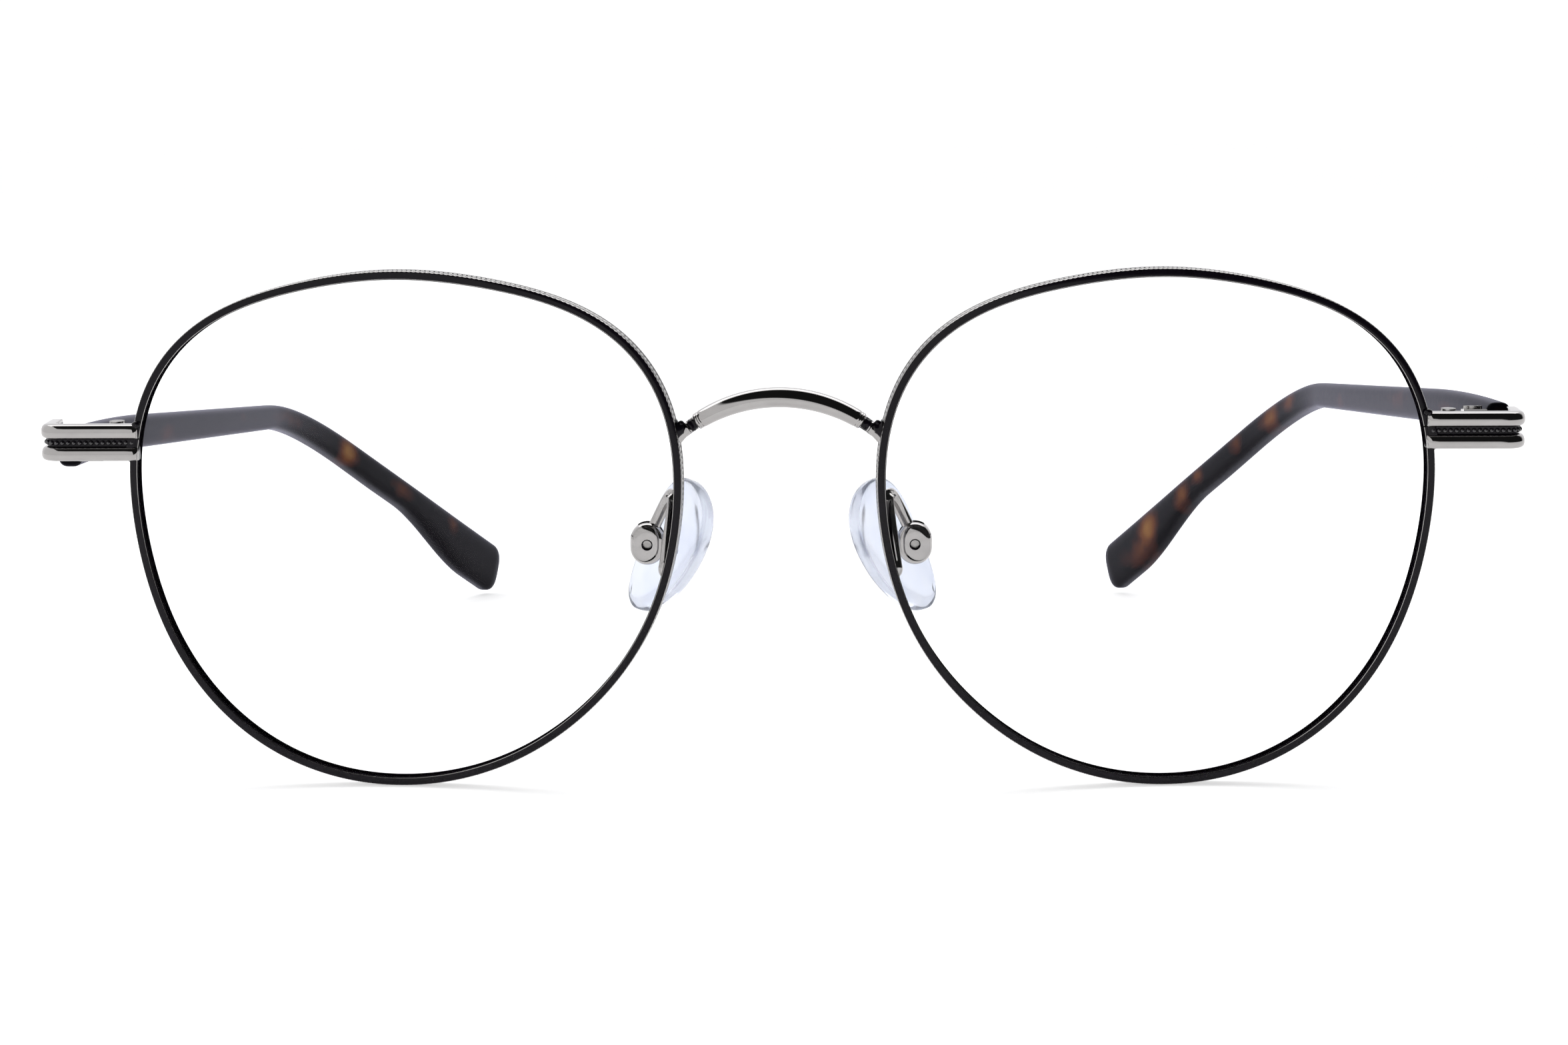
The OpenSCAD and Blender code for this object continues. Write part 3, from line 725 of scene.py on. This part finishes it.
# Amber and red-brown patches: distance along the temple, height on it from -1 to 1, length,
# height, and strength
PATCHES_RIGHT = (
    (80, 0.1, 8, 0.8, 0.34), (97.5, 0.0, 3, 0.9, 0.95), (109.5, 0.0, 3.4, 0.6, 0.4),
    (120.5, 0.5, 2.2, 0.4, 0.4), (60, 0.3, 4, 0.6, 0.25), (30, -0.3, 5, 0.7, 0.3),
    (12, 0.2, 5, 0.7, 0.25),
)
PATCHES_LEFT = (
    (85.8, 0.2, 3, 0.8, 0.5), (92, 0.0, 4, 0.9, 0.6), (100.3, 0.2, 2, 0.8, 0.5),
    (109, 0.3, 2, 0.6, 0.5), (113, -0.1, 2.6, 0.8, 0.6), (121.5, 0.1, 3.4, 0.7, 0.85),
    (124, -0.4, 4.5, 0.6, 0.45), (62, -0.2, 4, 0.6, 0.25), (35, 0.3, 5, 0.7, 0.3),
    (15, 0.0, 5, 0.7, 0.25),
)


def lean_in(y):
    """How far the bend has turned the temple in at y, for a slope of 1 at the tip."""
    q = np.maximum(0, y - STRAIGHT_L)
    return np.where(q < BEND_L, q * q / (2 * BEND_L), q - BEND_L / 2)


def rise(y):
    """How far the temple stands above the hinge's level at y."""
    return RISE * (1 - (1 - np.clip(y / RISE_L, 0, 1)) ** 2)


def temple_height(y):
    """The temple's height at y: it narrows to the bend, and flares into the paddle."""
    flare = np.clip((y - TEMPLE_L + 22) / 16, 0, 1)
    start = TEMPLE_H + (BEND_H - TEMPLE_H) * np.maximum(0, y) / STRAIGHT_L
    rest = BEND_H + (NECK_H - BEND_H) * np.minimum(1, (y - STRAIGHT_L) / 30)
    rest = rest + (TIP_H - NECK_H) * flare**2 * (3 - 2 * flare)
    return np.where(y < STRAIGHT_L, start, rest)


def temple(name, s, patches):
    # The upper edge's slope down behind the bend puts the tip's top TIP_TOP above the table
    hinge_up = HINGE[1] * math.sin(LEAN) + hinge_z(s) * math.cos(LEAN)
    end_up = (TEMPLE_L * math.sin(DROP) + TIP_TOP - hinge_up) / math.cos(DROP)
    down = (TEMPLE_H / 2 + RISE - end_up) / lean_in(TEMPLE_L)

    def top(y):
        """The upper edge at y."""
        x = TEMPLE_OUT - TOE * y - TIP_IN * lean_in(y)
        return np.stack([x, y, TEMPLE_H / 2 + rise(y) - down * lean_in(y)], -1)

    # Stations, close together on the rounded front and tip, and the size at each
    front_y = -0.05 + FRONT_ROUND * (1 - np.cos(np.radians(np.linspace(0, 90, 7))))
    straight_y = np.linspace(0.5, STRAIGHT_L, 70)
    bent_y = np.linspace(STRAIGHT_L + 0.8, TEMPLE_L - TIP_ROUND - 0.1, 78)
    tip_y = TEMPLE_L - TIP_ROUND * (1 - np.sin(np.radians(np.linspace(0, 90, 16))))
    y = np.concatenate([front_y, straight_y, bent_y, tip_y])
    q = np.clip((y - TEMPLE_L + TIP_ROUND) / TIP_ROUND, 0, 1)
    w = np.clip((FRONT_ROUND - 0.05 - y) / FRONT_ROUND, 0, 1)
    k = 1 - 0.45 * (1 - np.sqrt(1 - q * q)) - 0.16 * (1 - np.sqrt(1 - w * w))
    p = top(y)
    along = unit(top(y + 0.1) - p)
    out = unit(np.stack([along[:, 1], -along[:, 0], 0 * y], -1))
    up = np.cross(out, along)
    h = temple_height(y)
    ring = rounded(1, 1, 3.2, 56)
    width, height, middle = (a[:, None, None] for a in (TEMPLE_T * k, h * k, h / 2))
    points = (
        p[:, None] + out[:, None] * (ring[:, :1] * width)
        + up[:, None] * (ring[:, 1:] * height - middle)
    )
    # Each patch is a bell-shaped spot on the temple's side
    patch = np.zeros(points.shape[:2])
    v = ring[:, 1] * 2
    for at, level, length, tall, strength in patches:
        along_it, up_it = (y[:, None] - at) / (length / 1.5), (v - level) / (tall * 1.1)
        patch = np.maximum(patch, strength * np.exp(-(along_it**2) - up_it**2))
    flat, faces = sweep(points)
    obj = mesh(name + "_look", hinge(flat, s), faces, [TORTOISE], None, 60, body=name)
    layer = obj.data.attributes.new("patch", "FLOAT", "POINT")
    layer.data.foreach_set("value", patch.ravel().astype(np.float32))
    # A notch for the hinge's shank, and the core wire's bore
    notch = brick((-0.5, -1, -0.5), (TEMPLE_OUT + 0.7, 0.95, 0.5))
    toe = math.atan(TOE)
    direction = unit(np.array([-math.sin(toe), math.cos(toe), RISE / CORE_END]))
    root = np.array([TEMPLE_OUT, -0.5, 0])
    bore = rod(root, root + direction * (CORE_END + 0.6), 0.6)
    solid_cut(obj, tool(hinge(notch[0], s), notch[1]), tool(hinge(bore[0], s), bore[1]))
    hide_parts(name)


# --- Building ----------------------------------------------------------------------------

# How close points are welded and how wide edges are broken, in metres
WELD_M, BEVEL_M = 0.000001, 0.00006

bridge()
for side, s, patches in (("right", -1, PATCHES_RIGHT), ("left", 1, PATCHES_LEFT)):
    rim("rim_" + side, s)
    lens("lens_" + side, s)
    end_piece("end_piece_" + side, s)
    pad_arm("pad_arm_" + side, s)
    nose_pad("nose_pad_" + side, s)
    temple("temple_" + side, s, patches)
    # Nodes carried over from the CAD: broken edges, and steel but for the gunmetal front hinge
    for kind in (
        "rim_lock_upper", "rim_lock_lower", "rim_lock_screw", "front_hinge", "temple_hinge",
        "hinge_screw", "temple_core", "pad_screw",
    ):
        obj = nodes[kind + "_" + side]
        metal = GUNMETAL if kind == "front_hinge" else STEEL
        for k in range(len(obj.data.materials)):
            obj.data.materials[k] = metal
        weld = obj.modifiers.new("weld", "WELD")
        weld.merge_threshold = WELD_M
        bevel = obj.modifiers.new("broken_edges", "BEVEL")
        bevel.width = BEVEL_M
        bevel.segments = 2
        bevel.limit_method = "ANGLE"
        bevel.angle_limit = math.radians(40)

# --- Floor, light and camera -------------------------------------------------------------

floor_data = bpy.data.meshes.new("floor")
floor_data.from_pydata([(-3, -3, 0), (3, -3, 0), (3, 3, 0), (-3, 3, 0)], [], [(0, 1, 2, 3)])
floor = place("floor", floor_data)
paper, tree, shader = material(
    "paper", Roughness=0.9, Emission_Color=(1, 1, 1, 1), Emission_Strength=0.52
)
grain = noise(tree, 40, 3)
tree.links.new(
    ramp(tree, grain, (0.3, (0.93, 0.93, 0.93)), (0.7, (0.95, 0.95, 0.95))),
    shader.inputs["Base Color"],
)
floor_data.materials.append(paper)

# One soft box above and behind the object
softbox = bpy.data.lights.new("overhead", "AREA")
softbox.shape = "RECTANGLE"
softbox.size, softbox.size_y = 1.2, 0.5
softbox.energy = 3.2
overhead = place("overhead", softbox)
overhead.location = (0, 0.42, 0.8)
aim = Vector((0, -0.05, 0)) - overhead.location
overhead.rotation_euler = aim.to_track_quat("-Z", "Y").to_euler()


def studio_world():
    """A white studio that is dark above the viewer, which gives the metal its black line."""
    world = bpy.data.worlds.new("studio")
    bpy.context.scene.world = world
    world.use_nodes = True
    tree = world.node_tree
    coords = tree.nodes.new("ShaderNodeTexCoord")
    split = tree.nodes.new("ShaderNodeSeparateXYZ")
    tree.links.new(coords.outputs["Generated"], split.inputs[0])
    # The dark part hangs askew, lower towards +X than towards -X
    askew = tree.nodes.new("ShaderNodeMath")
    askew.operation = "MULTIPLY_ADD"
    tree.links.new(split.outputs["X"], askew.inputs[0])
    askew.inputs[1].default_value = 1.3
    tree.links.new(split.outputs["Z"], askew.inputs[2])
    white, dark = (1.0, 1.0, 1.0), (0.015, 0.015, 0.015)
    height = ramp(tree, askew.outputs[0], (0.0, white), (0.24, white), (0.32, dark), (1.0, dark))
    # The half behind the object is white all the way up
    depth = ramp(tree, split.outputs["Y"], (0.3, (0, 0, 0)), (0.55, (1, 1, 1)))
    mix = tree.nodes.new("ShaderNodeMix")
    mix.data_type = "RGBA"
    tree.links.new(depth, mix.inputs["Factor"])
    tree.links.new(height, mix.inputs["A"])
    mix.inputs["B"].default_value = (1.08, 1.08, 1.1, 1)
    tree.links.new(mix.outputs["Result"], tree.nodes["Background"].inputs["Color"])
    tree.nodes["Background"].inputs["Strength"].default_value = 1


studio_world()

# The camera looks 6.9 degrees down, a little to one side, and is rolled a little. Its focal
# length is 5600 of the image's 2352 columns.
FOCAL, IMAGE_W, SENSOR_W = 5600, 2352, 36
LOOK_DOWN, ASIDE, ROLL = math.radians(6.9), 0.01995, -0.0049
view = bpy.data.cameras.new("camera")
view.sensor_width = SENSOR_W
view.lens = FOCAL * SENSOR_W / IMAGE_W
view.clip_start, view.clip_end = 0.01, 20
camera = place("camera", view)
turned = Euler((math.pi / 2 - LOOK_DOWN, 0, ASIDE)).to_matrix() @ Matrix.Rotation(ROLL, 3, "Z")
camera.location = (0.00735, -0.41638, 0.06775)
camera.rotation_euler = turned.to_euler()
bpy.context.scene.camera = camera
bpy.context.scene.view_settings.view_transform = "Standard"
